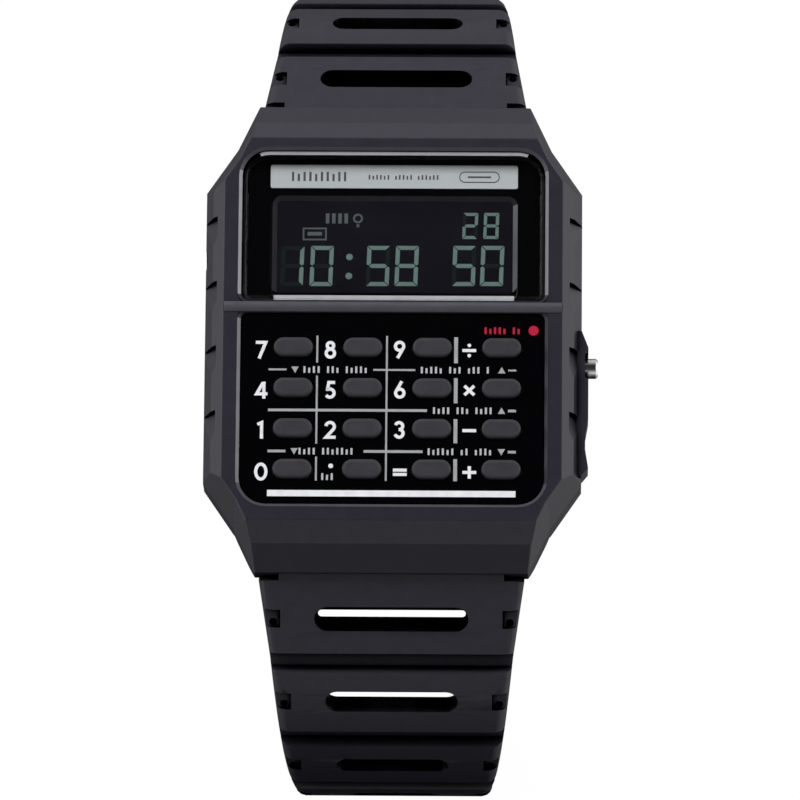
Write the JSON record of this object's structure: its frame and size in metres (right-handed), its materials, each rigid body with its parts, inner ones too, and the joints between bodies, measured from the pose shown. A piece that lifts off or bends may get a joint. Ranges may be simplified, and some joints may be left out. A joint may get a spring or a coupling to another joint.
{
  "type": "calculator watch",
  "caption": "Digital calculator watch: resin case, display over a sprung keypad, side pushers, and a slotted two-piece resin strap with a pin buckle.",
  "frame": {"origin": "centre of the case back's outer face, which rests on the wrist", "axes": "+Z out of the dial, +Y towards 12 o'clock, +X towards 3 o'clock"},
  "size_m": [0.0352, 0.0746, 0.1125],
  "materials": {
    "case_resin": "matte moulded resin with a fine grain",
    "strap_resin": "matte flexible resin",
    "window_glass": "clear mineral glass",
    "seal_rubber": "soft black rubber",
    "mask_plastic": "satin black plastic",
    "silver_strip": "satin silver foil",
    "display_cell": "dark display glass",
    "zebra_rubber": "layered conductive rubber",
    "panel_gloss": "glossy black plate",
    "mat_rubber": "translucent silicone rubber",
    "key_plastic": "satin dark grey plastic",
    "frame_plastic": "moulded black plastic",
    "board_green": "solder-masked board",
    "chip_resin": "black potting resin",
    "tin_can": "tinned steel",
    "coil_copper": "lacquered copper wire",
    "battery_steel": "nickel-plated steel",
    "spring_steel": "stainless spring steel",
    "sheet_film": "amber film",
    "buzzer_brass": "brass disc with a pale ceramic cell",
    "back_steel": "brushed stainless steel",
    "buckle_steel": "satin stainless steel",
    "pusher_steel": "satin stainless steel"
  },
  "bodies": {
    "case": {"case": "case_resin", "display_window": "window_glass", "window_gasket": "seal_rubber", "display_mask": "mask_plastic", "title_strip": "silver_strip", "lcd_panel": "display_cell", "zebra_strips": "zebra_rubber", "keypad_panel": "panel_gloss", "key_mat": "mat_rubber", "module_frame": "frame_plastic", "circuit_board": "board_green", "clock_chip": "chip_resin", "quartz_crystal": "tin_can", "boost_coil": "coil_copper", "battery": "battery_steel", "battery_clip": "spring_steel", "insulation_sheet": "sheet_film", "module_screws": "tin_can", "contact_springs": "spring_steel", "side_contacts": "spring_steel", "buzzer_disc": "buzzer_brass", "back_gasket": "seal_rubber", "case_back": "back_steel", "back_screws": "back_steel", "mode_pusher_seal": "seal_rubber", "adjust_pusher_seal": "seal_rubber", "mode_pusher_spring": "spring_steel", "adjust_pusher_spring": "spring_steel", "upper_spring_bar": "spring_steel", "lower_spring_bar": "spring_steel"},
    "key_7": {"key_7": "key_plastic"},
    "key_8": {"key_8": "key_plastic"},
    "key_9": {"key_9": "key_plastic"},
    "key_divide": {"key_divide": "key_plastic"},
    "key_4": {"key_4": "key_plastic"},
    "key_5": {"key_5": "key_plastic"},
    "key_6": {"key_6": "key_plastic"},
    "key_multiply": {"key_multiply": "key_plastic"},
    "key_1": {"key_1": "key_plastic"},
    "key_2": {"key_2": "key_plastic"},
    "key_3": {"key_3": "key_plastic"},
    "key_minus": {"key_minus": "key_plastic"},
    "key_0": {"key_0": "key_plastic"},
    "key_point": {"key_point": "key_plastic"},
    "key_equals": {"key_equals": "key_plastic"},
    "key_plus": {"key_plus": "key_plastic"},
    "mode_pusher": {"mode_pusher": "pusher_steel", "mode_pusher_clip": "spring_steel"},
    "adjust_pusher": {"adjust_pusher": "pusher_steel", "adjust_pusher_clip": "spring_steel"},
    "strap_upper": {"strap_buckle_half": "strap_resin"},
    "strap_lower": {"strap_tail_half": "strap_resin"},
    "upper_left_tip": {"upper_bar_left_tip": "spring_steel"},
    "upper_right_tip": {"upper_bar_right_tip": "spring_steel"},
    "lower_left_tip": {"lower_bar_left_tip": "spring_steel"},
    "lower_right_tip": {"lower_bar_right_tip": "spring_steel"},
    "keeper": {"keeper": "strap_resin"},
    "buckle": {"buckle_frame": "buckle_steel", "buckle_bar": "buckle_steel"},
    "tang": {"buckle_tang": "buckle_steel"}
  },
  "joints": [
    {"name": "key_7_press", "type": "slide", "parent": "case", "child": "key_7", "axis": [0, 0, -1], "range_m": [0, 0.0005], "stiffness_N_per_m": 1200, "deforming": ["key_mat"]},
    {"name": "key_8_press", "type": "slide", "parent": "case", "child": "key_8", "axis": [0, 0, -1], "range_m": [0, 0.0005], "stiffness_N_per_m": 1200, "deforming": ["key_mat"]},
    {"name": "key_9_press", "type": "slide", "parent": "case", "child": "key_9", "axis": [0, 0, -1], "range_m": [0, 0.0005], "stiffness_N_per_m": 1200, "deforming": ["key_mat"]},
    {"name": "key_divide_press", "type": "slide", "parent": "case", "child": "key_divide", "axis": [0, 0, -1], "range_m": [0, 0.0005], "stiffness_N_per_m": 1200, "deforming": ["key_mat"]},
    {"name": "key_4_press", "type": "slide", "parent": "case", "child": "key_4", "axis": [0, 0, -1], "range_m": [0, 0.0005], "stiffness_N_per_m": 1200, "deforming": ["key_mat"]},
    {"name": "key_5_press", "type": "slide", "parent": "case", "child": "key_5", "axis": [0, 0, -1], "range_m": [0, 0.0005], "stiffness_N_per_m": 1200, "deforming": ["key_mat"]},
    {"name": "key_6_press", "type": "slide", "parent": "case", "child": "key_6", "axis": [0, 0, -1], "range_m": [0, 0.0005], "stiffness_N_per_m": 1200, "deforming": ["key_mat"]},
    {"name": "key_multiply_press", "type": "slide", "parent": "case", "child": "key_multiply", "axis": [0, 0, -1], "range_m": [0, 0.0005], "stiffness_N_per_m": 1200, "deforming": ["key_mat"]},
    {"name": "key_1_press", "type": "slide", "parent": "case", "child": "key_1", "axis": [0, 0, -1], "range_m": [0, 0.0005], "stiffness_N_per_m": 1200, "deforming": ["key_mat"]},
    {"name": "key_2_press", "type": "slide", "parent": "case", "child": "key_2", "axis": [0, 0, -1], "range_m": [0, 0.0005], "stiffness_N_per_m": 1200, "deforming": ["key_mat"]},
    {"name": "key_3_press", "type": "slide", "parent": "case", "child": "key_3", "axis": [0, 0, -1], "range_m": [0, 0.0005], "stiffness_N_per_m": 1200, "deforming": ["key_mat"]},
    {"name": "key_minus_press", "type": "slide", "parent": "case", "child": "key_minus", "axis": [0, 0, -1], "range_m": [0, 0.0005], "stiffness_N_per_m": 1200, "deforming": ["key_mat"]},
    {"name": "key_0_press", "type": "slide", "parent": "case", "child": "key_0", "axis": [0, 0, -1], "range_m": [0, 0.0005], "stiffness_N_per_m": 1200, "deforming": ["key_mat"]},
    {"name": "key_point_press", "type": "slide", "parent": "case", "child": "key_point", "axis": [0, 0, -1], "range_m": [0, 0.0005], "stiffness_N_per_m": 1200, "deforming": ["key_mat"]},
    {"name": "key_equals_press", "type": "slide", "parent": "case", "child": "key_equals", "axis": [0, 0, -1], "range_m": [0, 0.0005], "stiffness_N_per_m": 1200, "deforming": ["key_mat"]},
    {"name": "key_plus_press", "type": "slide", "parent": "case", "child": "key_plus", "axis": [0, 0, -1], "range_m": [0, 0.0005], "stiffness_N_per_m": 1200, "deforming": ["key_mat"]},
    {"name": "mode_pusher_press", "type": "slide", "parent": "case", "child": "mode_pusher", "axis": [-1, 0, 0], "range_m": [0, 0.0007], "stiffness_N_per_m": 900, "deforming": ["mode_pusher_spring", "side_contacts"]},
    {"name": "adjust_pusher_press", "type": "slide", "parent": "case", "child": "adjust_pusher", "axis": [1, 0, 0], "range_m": [0, 0.0006], "stiffness_N_per_m": 900, "deforming": ["adjust_pusher_spring", "side_contacts"]},
    {"name": "strap_buckle_half_turn", "type": "hinge", "parent": "case", "child": "strap_upper", "pos_m": [0, 0.0192, 0.00323], "axis": [1, 0, 0], "range_deg": [-10, 8]},
    {"name": "strap_tail_half_turn", "type": "hinge", "parent": "case", "child": "strap_lower", "pos_m": [0, -0.0192, 0.00323], "axis": [-1, 0, 0], "range_deg": [-14, 8]},
    {"name": "upper_left_tip_slide", "type": "slide", "parent": "case", "child": "upper_left_tip", "axis": [1, 0, 0], "range_m": [0, 0.0012], "stiffness_N_per_m": 600, "springref_m": -0.001},
    {"name": "upper_right_tip_slide", "type": "slide", "parent": "case", "child": "upper_right_tip", "axis": [-1, 0, 0], "range_m": [0, 0.0012], "stiffness_N_per_m": 600, "springref_m": -0.001},
    {"name": "lower_left_tip_slide", "type": "slide", "parent": "case", "child": "lower_left_tip", "axis": [1, 0, 0], "range_m": [0, 0.0012], "stiffness_N_per_m": 600, "springref_m": -0.001},
    {"name": "lower_right_tip_slide", "type": "slide", "parent": "case", "child": "lower_right_tip", "axis": [-1, 0, 0], "range_m": [0, 0.0012], "stiffness_N_per_m": 600, "springref_m": -0.001},
    {"name": "keeper_slide", "type": "slide", "parent": "strap_upper", "child": "keeper", "axis": [0, -0.2756, -0.9613], "range_m": [-0.018, 0.008]},
    {"name": "buckle_turn", "type": "hinge", "parent": "strap_upper", "child": "buckle", "pos_m": [0, 0.02422, -0.06057], "axis": [1, 0, 0], "range_deg": [-60, 25]},
    {"name": "tang_turn", "type": "hinge", "parent": "buckle", "child": "tang", "pos_m": [0, 0.02422, -0.06057], "axis": [1, 0, 0], "range_deg": [0, 90]}
  ]
}
